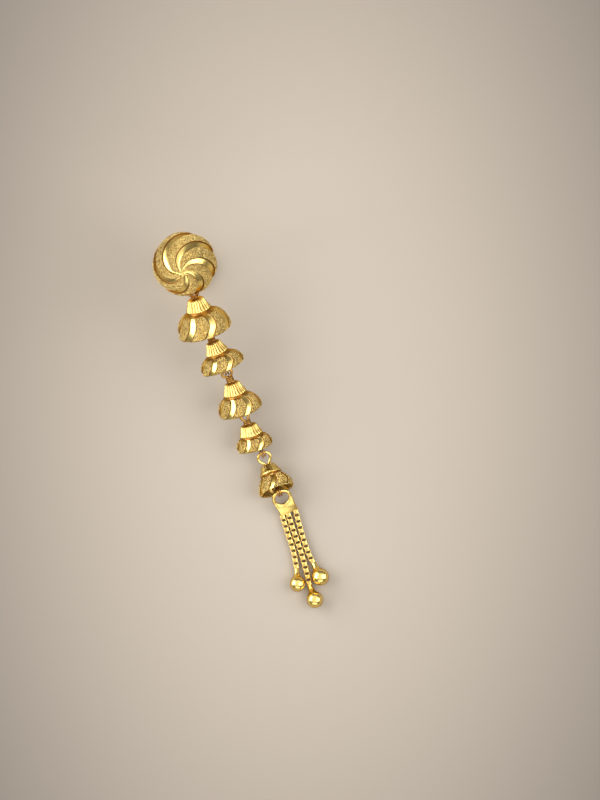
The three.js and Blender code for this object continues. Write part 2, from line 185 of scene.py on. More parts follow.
class ReliefSettings(bpy.types.PropertyGroup):
    """The chased relief of the ball and the bells."""

    swirl_depth: length("Swirl Depth", "How deep the ball's polished flutes lie", 0.16)
    lobe_rise: length("Lobe Rise", "How far the ball's lobes swell out", 0.1)
    petals: count("Petals", "Raised petals round each bell", 7, 16)
    petal_rise: length("Petal Rise", "How far a bell's petals swell out", 0.08)
    flute_depth: length("Flute Depth", "How deep the polished flutes of a bell lie", 0.13)
    ribs: count("Cap Ribs", "Ribs round each bell's cap", 21, 60)
    rib_depth: length("Rib Depth", "How deep the cap's ribs are cut", 0.13)
    stipple_depth: length("Stipple Depth", "How deep the punched stipple goes", 0.048)
    stipple_size: length("Stipple Size", "How far apart the stipple's pits lie", 0.24)
    sheet: length("Sheet", "Thickness of the bells' gold sheet", 0.18)


class ChainSettings(bpy.types.PropertyGroup):
    """The wire work, the box chains and the beads."""

    wire: length("Wire Radius", "Radius of the eyes' wire", 0.18)
    loop_wire: length("Loop Wire Radius", "Radius of the doubled wire of a lower loop", 0.13)
    link_pitch: length("Link Pitch", "From one box link to the next along a strand", 0.425)
    link_width: length("Link Width", "Width of a box link across the strand", 0.7)
    link_length: length("Link Length", "Length of a box link along the strand", 0.6)
    band: length("Band Thickness", "Thickness of the band that a box link is bent from", 0.08)
    hammering: length("Hammering", "How deep the beads are hammered", 0.022)


class GoldSettings(bpy.types.PropertyGroup):
    """Colours and gloss of the gold."""

    polished: colour("Polished Gold", "Polished surfaces", (0.96, 0.75, 0.26))
    stippled: colour("Stippled Gold", "Stippled petals and lobes", (1.0, 0.82, 0.34))
    # The shaded gold is the colour of painted shade, mixed into grooves, seams, rib furrows, stipple pits,
    # the bells' insides, the chains and the link wires.
    shaded: colour("Shaded Gold", "Grooves and other places that the polish never reaches",
                   (0.27, 0.078, 0.006))
    edge_tint: colour("Edge Tint", "The gold's tint at a glancing angle", (0.4, 0.17, 0.03))
    polish: share("Polish Roughness", "Roughness of the polished surfaces", 0.25)
    matte: share("Matte Roughness", "Roughness of the stippled surfaces", 0.28)


class StageSettings(bpy.types.PropertyGroup):
    """The floor, the lights and the camera."""

    floor: colour("Floor", "The pale surface", (0.43, 0.393, 0.362))
    surround: brightness("Surround", "Light from all round", 0.22)
    window: brightness("Window", "Brightness of the tall light on the left", 4.6)
    side: brightness("Side", "Brightness of the light on the right", 3.0)
    foot: brightness("Foot", "Brightness of the low light by the tassel", 1.6)
    overhead: brightness("Overhead", "Brightness of the wide light above", 0.92)
    distance: FloatProperty(name="Camera Height", description="Height of the camera above the surface",
                            default=1.5, min=0.3, unit="LENGTH")


SETTINGS = {"relief": ReliefSettings, "chain": ChainSettings, "gold": GoldSettings, "stage": StageSettings}


# Node trees

def operation(name, swapped=False):
    """A method of Signal that adds a Math node for this operation."""
    def method(self, other):
        return self.board.maths(name, *((other, self) if swapped else (self, other)))
    return method


class Signal:
    """An output of a node that can be added, multiplied and so on, each by a Math node of its own."""

    def __init__(self, board, socket):
        self.board, self.socket = board, socket

    def __neg__(self):
        return self * -1

    __add__ = __radd__ = operation("ADD")
    __sub__, __rsub__ = operation("SUBTRACT"), operation("SUBTRACT", swapped=True)
    __mul__ = __rmul__ = operation("MULTIPLY")
    __truediv__, __rtruediv__ = operation("DIVIDE"), operation("DIVIDE", swapped=True)
    __pow__ = operation("POWER")


class Board:
    """A node tree that is being filled, of a material, the world or Geometry Nodes."""

    def __init__(self, tree):
        self.tree = tree
        tree.nodes.clear()

    def add(self, kind, settings=None, sockets=None, outlet=0):
        """Adds one node. Settings come first, then the values or links of its sockets."""
        node = self.tree.nodes.new(kind)
        for name, value in (settings or {}).items():
            setattr(node, name, value)
        for key, value in (sockets or {}).items():
            inlet = node.inputs[key]
            if isinstance(value, Signal):
                self.tree.links.new(value.socket, inlet)
            else:
                inlet.default_value = (*value, 1) if inlet.type == "RGBA" else value
        return Signal(self, node.outputs[outlet]) if node.outputs else node

    def maths(self, operation, *values):
        return self.add("ShaderNodeMath", {"operation": operation}, dict(enumerate(values)))

    def limited(self, value):
        return self.maths("MINIMUM", self.maths("MAXIMUM", value, 0), 1)

    def ramp(self, value, low, high):
        """Nought at low and one at high, with a smooth change between them."""
        return self.add("ShaderNodeMapRange", {"interpolation_type": "SMOOTHSTEP"},
                        {0: value, 1: low, 2: high, 3: 0, 4: 1})

    def parts(self, vector):
        node = self.add("ShaderNodeSeparateXYZ", None, {0: vector}).socket.node
        return [Signal(self, outlet) for outlet in node.outputs]

    def mixed(self, factor, first, second):
        return self.add("ShaderNodeMix", {"data_type": "RGBA"}, {0: factor, 6: first, 7: second}, 2)

    def noise(self, vector, scale, detail):
        return self.add("ShaderNodeTexNoise", None, {"Vector": vector, "Scale": scale, "Detail": detail})


SOCKETS = {int: "NodeSocketInt", float: "NodeSocketFloat", type(None): "NodeSocketObject"}


class GrowingBoard(Board):
    """A Geometry Nodes tree with named sizes. It ends in Realize Instances and Set Material."""

    def __init__(self, name, sizes):
        tree = bpy.data.node_groups.new(name, "GeometryNodeTree")
        super().__init__(tree)
        tree.interface.new_socket("Geometry", in_out="INPUT", socket_type="NodeSocketGeometry")
        tree.interface.new_socket("Material", in_out="INPUT", socket_type="NodeSocketMaterial")
        for size, value in sizes.items():
            socket = tree.interface.new_socket(size, in_out="INPUT", socket_type=SOCKETS[type(value)])
            if value is not None:
                socket.default_value = value
        tree.interface.new_socket("Geometry", in_out="OUTPUT", socket_type="NodeSocketGeometry")
        group = tree.nodes.new("NodeGroupInput")
        self.size = {socket.name: Signal(self, socket) for socket in group.outputs if socket.name}

    def field(self, name):
        return self.add("GeometryNodeInputNamedAttribute", {"data_type": "FLOAT"}, {"Name": name})

    def stored(self, geometry, name, value):
        return self.add("GeometryNodeStoreNamedAttribute", {"data_type": "FLOAT", "domain": "POINT"},
                        {"Geometry": geometry, "Name": name, "Value": value})

    def point(self, x, y, z):
        return self.add("ShaderNodeCombineXYZ", None, {0: x, 1: y, 2: z})

    def moved(self, geometry, x, y, z):
        return self.add("GeometryNodeSetPosition", None,
                        {"Geometry": geometry, "Position": self.point(x, y, z)})

    def finished(self, geometry):
        whole = self.add("GeometryNodeRealizeInstances", None, {0: geometry})
        dressed = self.add("GeometryNodeSetMaterial", None,
                           {"Geometry": whole, "Material": self.size["Material"]})
        self.add("NodeGroupOutput", None, {0: dressed})
        return self.tree


def fluted(board, phase, half, depth, rise):
    """The relief of a flute and a petal for each whole number of phase, the petal's share and a mask for the
    painted shade line along its edge.
    """
    away = board.maths("ABSOLUTE", board.maths("FRACT", phase + 0.5) - 0.5)
    raised = board.ramp(away, half - FLUTE_WALL, half + FLUTE_WALL)
    hollow = depth * ((away / half) ** 2 * FLUTE_CAMBER - 1)
    crown = rise * (1 - ((0.5 - away) / (0.5 - half)) ** 2 * PETAL_CAMBER)
    edge = 1 - board.ramp(board.maths("ABSOLUTE", away - (half - SEAM_INSET)), SEAM_CORE, SEAM_EDGE)
    return hollow * (1 - raised) + crown * raised, raised, edge


def stippled(board, point):
    """Punched pits, from minus one to one."""
    grains = board.noise(point, 1 / board.size["Stipple Size"], 1.0)
    return board.limited((grains - 0.5) * STIPPLE_CONTRAST + 0.5) * 2 - 1


def swirl_tree(name):
    """A ball whose lobes wind round its pole."""
    board = GrowingBoard(name, {
        "Radius": 4 * MM, "Lobes": 6, "Swirl": 1.2, "Phase": 0.0, "End": 2.0, "Flute Share": 0.19,
        "Flute Depth": 0.15 * MM, "Lobe Rise": 0.1 * MM, "Stipple Depth": 0.02 * MM,
        "Stipple Size": 0.24 * MM,
    })
    size = board.size
    pole_plain, pole_full, end_fade = 0.02, 0.22, 0.2
    polar, around = board.field("polar"), board.field("around")
    azimuth = size["Phase"] + around * FULL_TURN - size["Swirl"] * board.maths("MINIMUM", polar, size["End"])
    relief, raised, edge = fluted(board, around * size["Lobes"] - BALL_FLUTE_AT, size["Flute Share"],
                                  size["Flute Depth"], size["Lobe Rise"])
    fade = board.ramp(polar, pole_plain, pole_full) * board.limited((size["End"] - polar) / end_fade)
    sine = board.maths("SINE", polar)
    unit = [sine * board.maths("COSINE", azimuth), sine * board.maths("SINE", azimuth),
            board.maths("COSINE", polar)]
    ideal = board.point(*[size["Radius"] * x for x in unit])
    pits = stippled(board, ideal) * size["Stipple Depth"] * raised * fade
    radius = size["Radius"] + relief * fade + pits
    ball = board.moved(size["Geometry"], *[radius * x for x in unit])
    ball = board.stored(ball, "raised", raised * fade)
    # Painted shade: the dark line along each lobe's edge is stored as shade.
    ball = board.stored(ball, "shade", edge * fade)
    return board.finished(ball)


def bell_tree(name):
    """A bell with a ribbed cap and a skirt of raised petals between polished flutes, and painted shade in its
    groove, inside, along the petals' edges and in the furrows between the ribs.
    """
    board = GrowingBoard(name, {
        "Petals": 7, "Turn": 0.0, "Bulge": math.radians(17), "Hook": math.radians(9), "Flute Share": 0.175,
        "Flute Depth": 0.13 * MM, "Petal Rise": 0.08 * MM, "Ribs": 26, "Rib Depth": 0.08 * MM,
        "Stipple Depth": 0.02 * MM, "Stipple Size": 0.24 * MM,
    })
    size = board.size
    bulge_skew, rib_middle, furrow_dark, furrow_light, darkness = 0.8, 0.65, 0.1, 0.85, 0.9
    radius, depth, down = board.field("radius"), board.field("depth"), board.field("down")
    petal, rib, around = board.field("petal"), board.field("rib"), board.field("around")
    swing = size["Bulge"] * board.maths("SINE", down ** bulge_skew * math.pi) - size["Hook"] * down
    turn = size["Turn"] + swing + around * FULL_TURN
    relief, raised, edge = fluted(board, around * size["Petals"] - BELL_FLUTE_AT, size["Flute Share"],
                                  size["Flute Depth"], size["Petal Rise"])
    ridge = board.maths("ABSOLUTE", board.maths("COSINE", around * size["Ribs"] * math.pi))
    ribbing = size["Rib Depth"] * (ridge - rib_middle) * rib
    sine, cosine = board.maths("SINE", turn), board.maths("COSINE", turn)
    ideal = board.point(radius * sine, radius * cosine, depth)
    pits = stippled(board, ideal) * size["Stipple Depth"] * raised * petal
    wall = radius + relief * petal + ribbing + pits
    bell = board.moved(size["Geometry"], wall * sine, wall * cosine, depth)
    bell = board.stored(bell, "raised", raised * petal)
    # Painted shade: the groove and the inside, a dark line along each petal's edge and the furrows between
    # the cap's ribs are stored as shade.
    furrow = (1 - board.ramp(ridge, furrow_dark, furrow_light)) * rib
    bell = board.stored(bell, "shade", board.limited(
        board.field("groove") + edge * petal * darkness + furrow * darkness))
    return board.finished(bell)


def wire_tree(name):
    """Round wire along curves."""
    board = GrowingBoard(name, {"Radius": 0.16 * MM, "Sides": 14, "Wire Shade": 0.0})
    section = board.add("GeometryNodeCurvePrimitiveCircle", {"mode": "RADIUS"},
                        {"Resolution": board.size["Sides"], "Radius": board.size["Radius"]})
    wire = board.add("GeometryNodeCurveToMesh", None, {
        "Curve": board.size["Geometry"], "Profile Curve": section, "Fill Caps": True})
    # The wire's share of painted shade is stored as its shade, which the gold mixes towards the shaded gold.
    return board.finished(board.stored(wire, "shade", board.size["Wire Shade"]))


def chain_tree(name):
    """Box links along a curve, each turned a quarter from the one before."""
    board = GrowingBoard(name, {"Link": None, "Count": 16})
    size = board.size
    spots = board.add("GeometryNodeResampleCurve", {"mode": "COUNT"},
                      {"Curve": size["Geometry"], "Count": size["Count"]})
    ahead = board.add("GeometryNodeInputTangent")
    level = board.add("ShaderNodeVectorMath", {"operation": "CROSS_PRODUCT"}, {0: ahead, 1: (0, 0, 1)})
    odd = board.maths("MODULO", board.add("GeometryNodeInputIndex"), 2)
    across = board.add("ShaderNodeMix", {"data_type": "VECTOR"}, {0: odd, 4: level, 5: (0, 0, 1)}, 1)
    facing = board.add("FunctionNodeAxesToRotation", {"primary_axis": "Y", "secondary_axis": "Z"},
                       {0: ahead, 1: across})
    link = board.add("GeometryNodeObjectInfo", {"transform_space": "ORIGINAL"}, {"Object": size["Link"]},
                     outlet="Geometry")
    return board.finished(board.add("GeometryNodeInstanceOnPoints", None, {
        "Points": spots, "Instance": link, "Rotation": facing}))


def hammer_tree(name):
    """Shallow hammer marks on a bead."""
    board = GrowingBoard(name, {"Depth": 0.03 * MM, "Mark Size": 0.75 * MM})
    size = board.size
    inward = 1.2
    marks = board.add("ShaderNodeTexVoronoi", {"feature": "SMOOTH_F1"}, {
        "Vector": board.add("GeometryNodeInputPosition"), "Scale": 1 / size["Mark Size"], "Smoothness": 0.35})
    push = board.add("ShaderNodeVectorMath", {"operation": "SCALE"}, {
        "Vector": board.add("GeometryNodeInputNormal"),
        "Scale": size["Depth"] * (marks * 2 - inward) * board.field("ball")})
    return board.finished(board.add("GeometryNodeSetPosition", None,
                                    {"Geometry": size["Geometry"], "Offset": push}))


TREES = {
    "swirled ball": swirl_tree, "petalled bell": bell_tree, "bent wire": wire_tree,
    "box chain": chain_tree, "hammered bead": hammer_tree,
}


def tree_for(name):
    """A Geometry Nodes tree, made when it is first asked for."""
    return bpy.data.node_groups.get(name) or TREES[name](name)


# Materials

def gold_material(name, settings, rough, matte=None, grain=0.16, bump=0.35, patches=0.12, even_shade=0.0):
    """Gold whose polish is broken by fine marks, with matte stipple on raised places, and painted shade in
    the stipple's pits, in the places marked as shade and in an even share.
    """
    patch_size, mark_size, bump_depth = 1.1 * MM, 0.45 * MM, 0.2 * MM
    patch_from, patch_gain, patch_colour = 0.42, 8, (0.85, 0.55, 0.15)
    # pit_shade and seam_shade are shares of painted shade, mixed towards the shaded gold.
    pit_rim, pit_floor, pit_shade, seam_shade = 0.52, 0.36, 0.5, 0.85
    mark_gloss, seam_gloss = 0.12, 0.12
    stipple_height, plain_height, mark_height = 3.0, 0.02, 0.06
    material = bpy.data.materials.new(name)
    material.use_nodes = True
    board = Board(material.node_tree)
    here = board.add("ShaderNodeTexCoord", outlet="Object")
    raised = board.add("ShaderNodeAttribute", {"attribute_name": "raised"}, outlet="Fac")
    shade = board.add("ShaderNodeAttribute", {"attribute_name": "shade"}, outlet="Fac")
    cloud = board.noise(here, 1 / patch_size, 3)
    grains = board.noise(here, 1 / (grain * MM), 2)
    marks = board.noise(here, 1 / mark_size, 4)
    shaded = tuple(settings.shaded)
    tint = board.mixed(raised, tuple(settings.polished), tuple(settings.stippled))
    worn = board.mixed(board.limited((cloud - patch_from) * patches * patch_gain), tint, patch_colour)
    # Painted shade: the stipple's pits are mixed towards the shaded gold, then the places marked as shade and
    # the even share.
    speckled = board.mixed(raised * board.ramp(grains, pit_rim, pit_floor) * pit_shade, worn, shaded)
    final = board.mixed(board.limited(shade * seam_shade + even_shade), speckled, shaded)
    roughness = (rough + (marks - 0.5) * mark_gloss + raised * ((matte or rough) - rough)
                 + shade * seam_gloss)
    height = grains * (raised * stipple_height + plain_height) + marks * mark_height
    normal = board.add("ShaderNodeBump", None, {"Strength": bump, "Distance": bump_depth, "Height": height})
    shader = board.add("ShaderNodeBsdfPrincipled", None, {
        "Base Color": final, "Metallic": 1.0, "Roughness": roughness, "Normal": normal,
        "Specular Tint": tuple(settings.edge_tint)})
    board.add("ShaderNodeOutputMaterial", None, {"Surface": shader})
    return material


def floor_material(settings):
    """The plain pale surface, with a painted pool of light round the jewel that darkens towards its edges."""
    material = bpy.data.materials.new("pale_surface")
    material.use_nodes = True
    board = Board(material.node_tree)
    here = board.add("ShaderNodeTexCoord", outlet="Object")
    x, y = (part - middle for part, middle in zip(board.parts(here), VIEW_CENTRE))
    across = (x * VIEW_RIGHT.x + y * VIEW_RIGHT.y) / POOL_WIDTH
    upward = (x * VIEW_UP.x + y * VIEW_UP.y) / POOL_HEIGHT
    # Painted light: a pool of light round the view's centre, falling off to a darker rim.
    lit_pool = board.maths("EXPONENT", -(across * across + upward * upward))
    pooled_floor = board.mixed(lit_pool, tuple(POOL_RIM * x for x in settings.floor), tuple(settings.floor))
    shader = board.add("ShaderNodeBsdfPrincipled", None, {
        "Base Color": pooled_floor, "Roughness": 0.85, "Specular IOR Level": 0.2})
    board.add("ShaderNodeOutputMaterial", None, {"Surface": shader})
    return material


def material_for(slot):
    """Each of the jewel's finishes, made when it is first asked for."""
    name = f"jhumka_{slot}"
    if name in bpy.data.materials:
        return bpy.data.materials[name]
    gold = bpy.context.scene.jhumka_gold
    finishes = {
        "stippled_gold": {"rough": gold.polish, "matte": gold.matte, "bump": 1.0},
        "polished_gold": {"rough": gold.polish - 0.03, "bump": 0.2},
        "wire_gold": {"rough": gold.polish, "bump": 0.2, "patches": 0.3},
        # The chain's gold gets an even share of painted shade, so it is darker than the other gold.
        "chain_gold": {"rough": gold.polish + 0.04, "bump": 0.2, "even_shade": 0.28},
        "nut_gold": {"rough": 0.3, "grain": 0.1, "bump": 0.4},
    }
    return gold_material(name, gold, **finishes[slot])


# Meshes

def placed(spot, height=None):
    """A point of the tables in the row frame, in metres."""
    along, side = spot[:2]
    level = spot[2] if height is None else height
    return Vector((side, -along, level)) * MM + ZERO


def frame_towards(start, end):
    """Axes at start whose third looks at end and whose first is level."""
    axis = (end - start).normalized()
    level = UP.cross(axis).normalized()
    turned = Matrix((level, axis.cross(level), axis)).transposed().to_4x4()
    turned.translation = start
    return turned


def at(axes, x, y, z):
    """A point in millimetres along these axes."""
    return axes @ (Vector((x, y, z)) * MM)


def spread(rows, steps):
    """Rows with these many steps from each to the next, ending on the last."""
    made = []
    for first, second, parts in zip(rows, rows[1:], steps):
        made += [tuple(a + (b - a) * k / parts for a, b in zip(first, second)) for k in range(parts)]
    return made + [rows[-1]]


def ring_mesh(name, rows, columns, keys, tips=False):
    """A closed skin of rings. Its rows' values and the share of a turn are attributes of its points."""
    mesh = bpy.data.meshes.new(name)
    inner = rows[1:-1] if tips else rows
    values = [(*row, j / columns) for row in inner for j in range(columns)]
    faces = []
    bands = len(inner) - 1 if tips else len(inner)
    for i in range(bands):
        low, high = i * columns, ((i + 1) % len(inner)) * columns
        faces += [(low + j, low + (j + 1) % columns, high + (j + 1) % columns, high + j)
                  for j in range(columns)]
    if tips:
        first, last, top = len(values), len(values) + 1, (len(inner) - 1) * columns
        values += [(*rows[0], 0), (*rows[-1], 0)]
        faces += [(first, (j + 1) % columns, j) for j in range(columns)]
        faces += [(last, top + j, top + (j + 1) % columns) for j in range(columns)]
    mesh.from_pydata([(0, 0, 0)] * len(values), [], faces)
    for k, key in enumerate((*keys, "around")):
        mesh.attributes.new(key, "FLOAT", "POINT").data.foreach_set("value", [row[k] for row in values])
    return mesh


def turned_mesh(name, rows, columns, radius_at=None):
    """A mesh turned about its own Z from rows of (radius, height), closed at both ends on the axis."""
    mesh = ring_mesh(name, rows, columns, ("radius", "height"), tips=True)
    values = {key: [0.0] * len(mesh.vertices) for key in ("radius", "height", "around")}
    for key, found in values.items():
        mesh.attributes[key].data.foreach_get("value", found)
    points = []
    for radius, height, around in zip(*values.values()):
        wide = radius_at(radius, height, around) if radius_at else radius
        points += [wide * math.cos(around * FULL_TURN), wide * math.sin(around * FULL_TURN), height]
    mesh.vertices.foreach_set("co", points)
    mesh.update()
    return mesh


def signed_volume(mesh):
    mesh.calc_loop_triangles()
    points = [v.co for v in mesh.vertices]
    return sum(points[a].dot(points[b].cross(points[c]))
               for a, b, c in (t.vertices for t in mesh.loop_triangles)) / 6


def linked(name, data):
    """An object of this mesh, curve, lamp or camera, in the scene."""
    made = bpy.data.objects.new(name, data)
    bpy.context.scene.collection.objects.link(made)
    return made


def evaluated(shape):
    """The mesh that an object's modifiers make of it."""
    graph = bpy.context.evaluated_depsgraph_get()
    return bpy.data.meshes.new_from_object(shape.evaluated_get(graph), depsgraph=graph)


def shown(name, mesh, slot):
    """A finished piece at the origin, faces out, riding on the jewel's one body."""
    if signed_volume(mesh) < 0:
        mesh.flip_normals()
    mesh.materials.clear()
    mesh.materials.append(material_for(slot))
    mesh.polygons.foreach_set("use_smooth", [True] * len(mesh.polygons))
    mesh.name = name
    piece = linked(name, mesh)
    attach(piece, "root")
    return piece


def grown(data, tree_name, slot, sizes, turned=None):
    """The plain mesh that a Geometry Nodes tree makes of this mesh or curve."""
    seedling = linked("seedling", data)
    modifier = seedling.modifiers.new("grown", "NODES")
    tree = modifier.node_group = tree_for(tree_name)
    sockets = {item.name: item.identifier for item in tree.interface.items_tree if item.in_out == "INPUT"}
    for name, value in {**sizes, "Material": material_for(slot)}.items():
        modifier[sockets[name]] = value
    bpy.context.view_layer.update()
    mesh = evaluated(seedling)
    seedling.modifiers.remove(modifier)
    bpy.data.objects.remove(seedling)
    if not mesh.polygons:
        raise RuntimeError(f"{tree_name} made nothing")
    if turned is not None:
        mesh.transform(turned)
    return mesh


def curves(routes):
    """Smooth curves, one for each (points, whether it is closed)."""
    data = bpy.data.curves.new("routes", "CURVE")
    data.dimensions = "3D"
    data.resolution_u = 10
    for points, closed in routes:
        spline = data.splines.new("BEZIER")
        spline.bezier_points.add(len(points) - 1)
        for knot, point in zip(spline.bezier_points, points):
            knot.co = point
            knot.handle_left_type = knot.handle_right_type = "AUTO"
        spline.use_cyclic_u = closed
    return data


def wires(routes, radius, wire_shade=0.0, sides=14):
    """Round wire along smooth routes, with a share of painted shade."""
    return grown(curves(routes), "bent wire", "wire_gold",
                 {"Radius": radius, "Wire Shade": wire_shade, "Sides": sides})


def circle(sides):
    """The angles of a circle's corners."""
    return [FULL_TURN * n / sides for n in range(sides)]


def doubled_loop(centre, towards, apart):
    """Two round loops side by side, standing upright in the plane that holds the drop."""
    loop_frame = frame_towards(centre, towards)
    level, third, axis = (loop_frame.col[k].to_3d() for k in range(3))
    return [([centre + level * side + (axis * math.cos(a) + third * math.sin(a)) * LOOP_RADIUS * MM
              for a in circle(12)], True)
            for side in (-apart, apart)]


def plain_mesh(name, points, faces):
    mesh = bpy.data.meshes.new(name)
    mesh.from_pydata(points, [], faces)
    return mesh


def welded(meshes):
    """Several meshes as one, with their shade."""
    points, faces, shades = [], [], []
    for mesh in meshes:
        base = len(points)
        points += [tuple(v.co) for v in mesh.vertices]
        faces += [tuple(base + k for k in face.vertices) for face in mesh.polygons]
        shade = mesh.attributes.get("shade")
        shades += [item.value for item in shade.data] if shade else [0.0] * len(mesh.vertices)
    whole = plain_mesh("welded", points, faces)
    whole.attributes.new("shade", "FLOAT", "POINT").data.foreach_set("value", shades)
    return whole


# Profiles

def skirt_radius(bell, down):
    quadrant = math.sqrt(1 - (1 - down) ** 2)
    foot = bell["cap_foot"] + 0.04
    return foot + (bell["wide"] - foot) * quadrant ** bell["fullness"]


def bell_rows(bell, sheet):
    """Rows of radius, depth, petal, rib and painted shade, darkest in the groove and inside, from the cap's
    hole down to the mouth and up inside.
    """
    whole = (Vector(bell["mouth"]) - Vector(bell["cap"])).length
    top, foot, height, rib = bell["cap_top"], bell["cap_foot"], bell["cap_height"], bell["ribbing"]
    skirt_top, widest = height + GROOVE_WIDTH, whole - MOUTH_TUCK_DEPTH
    waist = foot - GROOVE_DEPTH
    cap = spread([
        (CAP_HOLE, 0, 0, 0, 0.3), (top - 0.14, 0, 0, 0, 0), (top - 0.05, 0.03, 0, rib * 0.3, 0),
        (top + 0.04, 0.14, 0, rib, 0), (top + (foot - top) * 0.5, height * 0.56, 0, rib, 0),
        (foot - 0.02, height - 0.12, 0, rib, 0), (foot, height, 0, rib * 0.5, 0.1),
        (foot - 0.05, height + 0.07, 0, 0, 0.7), (waist, height + 0.15, 0, 0, 1),
        (waist + 0.05, height + 0.23, 0, 0, 0.8),
    ], [3, 3, 3, 9, 9, 3, 3, 3, 3])
    skirt, lining = [], []
    for n in range(SKIRT_RINGS + 1):
        down = n / SKIRT_RINGS
        deep, wide = skirt_top + (widest - skirt_top) * down, skirt_radius(bell, down)
        petal = min(1, down / 0.1)
        skirt.append((wide, deep, petal, 0, max(0, 0.5 - down * 6)))
        if n % 2 == 0 and n:
            lining.append((wide - sheet, deep + sheet * 0.7 * (1 - down), petal, 0, 0.35))
    rim = bell["wide"] - MOUTH_TUCK
    mouth = spread([
        (bell["wide"], widest, 1, 0, 0), (rim + 0.02, whole - 0.1, 0.6, 0, 0), (rim, whole - 0.03, 0.4, 0, 0),
        (rim - 0.03, whole, 0.4, 0, 0), (rim - sheet + 0.03, whole, 0.4, 0, 0),
        (rim - sheet, whole - 0.03, 0.4, 0, 0.2),
    ], [3, 2, 2, 2, 2])[1:]
    throat = [
        (waist - 0.13, skirt_top + 0.08, 0, 0, 0.6), (waist - 0.16, height, 0, 0, 0.6),
        (waist - 0.22, height * 0.75, 0, 0, 0.6), (top - 0.16, 0.3, 0, 0, 0.6), (CAP_HOLE, 0.2, 0, 0, 0.6),
    ]
    rows = cap + skirt + mouth + lining[::-1] + throat
    span = whole - height
    return [(r * MM, d * MM, p, b, g, min(1, max(0, (d - height) / span))) for r, d, p, b, g in rows]


def bead_rows(radius, reach):
    """Rows of radius and height for a bead drawn out into a neck, from the neck's end to the tip."""
    meet, start, lip, neck_rows, ball_rows = math.radians(46), 0.3, 0.05, 14, 30
    meet_at, meet_radius = reach - radius * math.cos(meet), radius * math.sin(meet)
    rows = [(0, 0), (start - lip, 0), (start, lip)]
    slope_in, slope_out = 0.05 * meet_at, 0.95 * meet_at
    for n in range(1, neck_rows + 1):
        t = n / neck_rows
        wide = ((2 * t ** 3 - 3 * t ** 2 + 1) * start + (t ** 3 - 2 * t ** 2 + t) * slope_in
                + (3 * t ** 2 - 2 * t ** 3) * meet_radius + (t ** 3 - t ** 2) * slope_out)
        rows.append((wide, lip + (meet_at - lip) * t))
    for n in range(1, ball_rows + 1):
        turn = meet + (math.pi - meet) * n / ball_rows
        rows.append((radius * math.sin(turn), reach - radius * math.cos(turn)))
    return rows


# Operators

class JHUMKA_OT_ball(bpy.types.Operator):
    """Make the swirled ball, its threaded post and its hoop"""

    bl_idname = "jhumka.ball"
    bl_label = "Swirled Ball"
    bl_options = {"REGISTER", "UNDO"}

    def execute(self, context):
        relief, centre = context.scene.jhumka_relief, placed(BALL["centre"])
        rows = [(math.pi * n / BALL_RINGS,) for n in range(BALL_RINGS + 1)]
        skin = ring_mesh("ball", rows, BALL["lobes"] * COLUMNS_PER_LOBE, ("polar",), tips=True)
        side, drop = math.sin(math.radians(BALL["lean_side"])), -math.sin(math.radians(BALL["lean_drop"]))
        pole = Vector((side, drop, math.sqrt(1 - side ** 2 - drop ** 2)))
        east = Vector((0, 1, 0)).cross(pole).normalized()
        turned = Matrix((east, pole.cross(east), pole)).transposed().to_4x4()
        turned.translation = centre
        mesh = grown(skin, "swirled ball", "stippled_gold", {
            "Radius": BALL["radius"] * MM, "Lobes": BALL["lobes"], "Swirl": BALL["swirl"],
            "Phase": math.radians(BALL["phase"]), "End": math.radians(BALL["end"]),
            "Flute Depth": relief.swirl_depth, "Lobe Rise": relief.lobe_rise,
            "Stipple Depth": relief.stipple_depth, "Stipple Size": relief.stipple_size,
        }, turned)
        ball = shown("swirled_ball", mesh, "stippled_gold")
        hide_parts("ball_stud")
        shown("ear_post", self.post(), "polished_gold")
        apart, thinner = 0.12 * MM, 0.02 * MM
        wire = context.scene.jhumka_chain.loop_wire - thinner
        shown("ball_hoop", wires(doubled_loop(placed(HANGS[0]), centre, apart), wire), "wire_gold")
        return {"FINISHED"}

    @staticmethod
    def post():
        """A screw thread winds up the post, and a round pad carries the ball."""
        pitch, thread_depth, thread_foot, thread_top, turns = 0.32, 0.07, POST_FOOT + 0.1, 6.6, 150
        rows = [(0, POST_FOOT), (POST_RADIUS - 0.1, POST_FOOT)]
        rows += [(POST_RADIUS, thread_foot + (thread_top - thread_foot) * n / turns)
                 for n in range(turns + 1)]
        rows += [(POST_RADIUS, 7.0), (POST_RADIUS + 0.06, 7.14), (1.15, 7.2), (1.25, 7.27), (1.25, POST_TOP),
                 (0, POST_TOP)]

        def threaded(radius, height, around):
            if not thread_foot + 0.05 < height < thread_top:
                return radius
            tooth = abs((height / pitch - around) % 1 - 0.5) * 2
            return radius - thread_depth * (1 - tooth)

        mesh = turned_mesh("post", rows, 40, threaded)
        mesh.transform(Matrix.Translation(ZERO) @ Matrix.Scale(MM, 4))
        return mesh


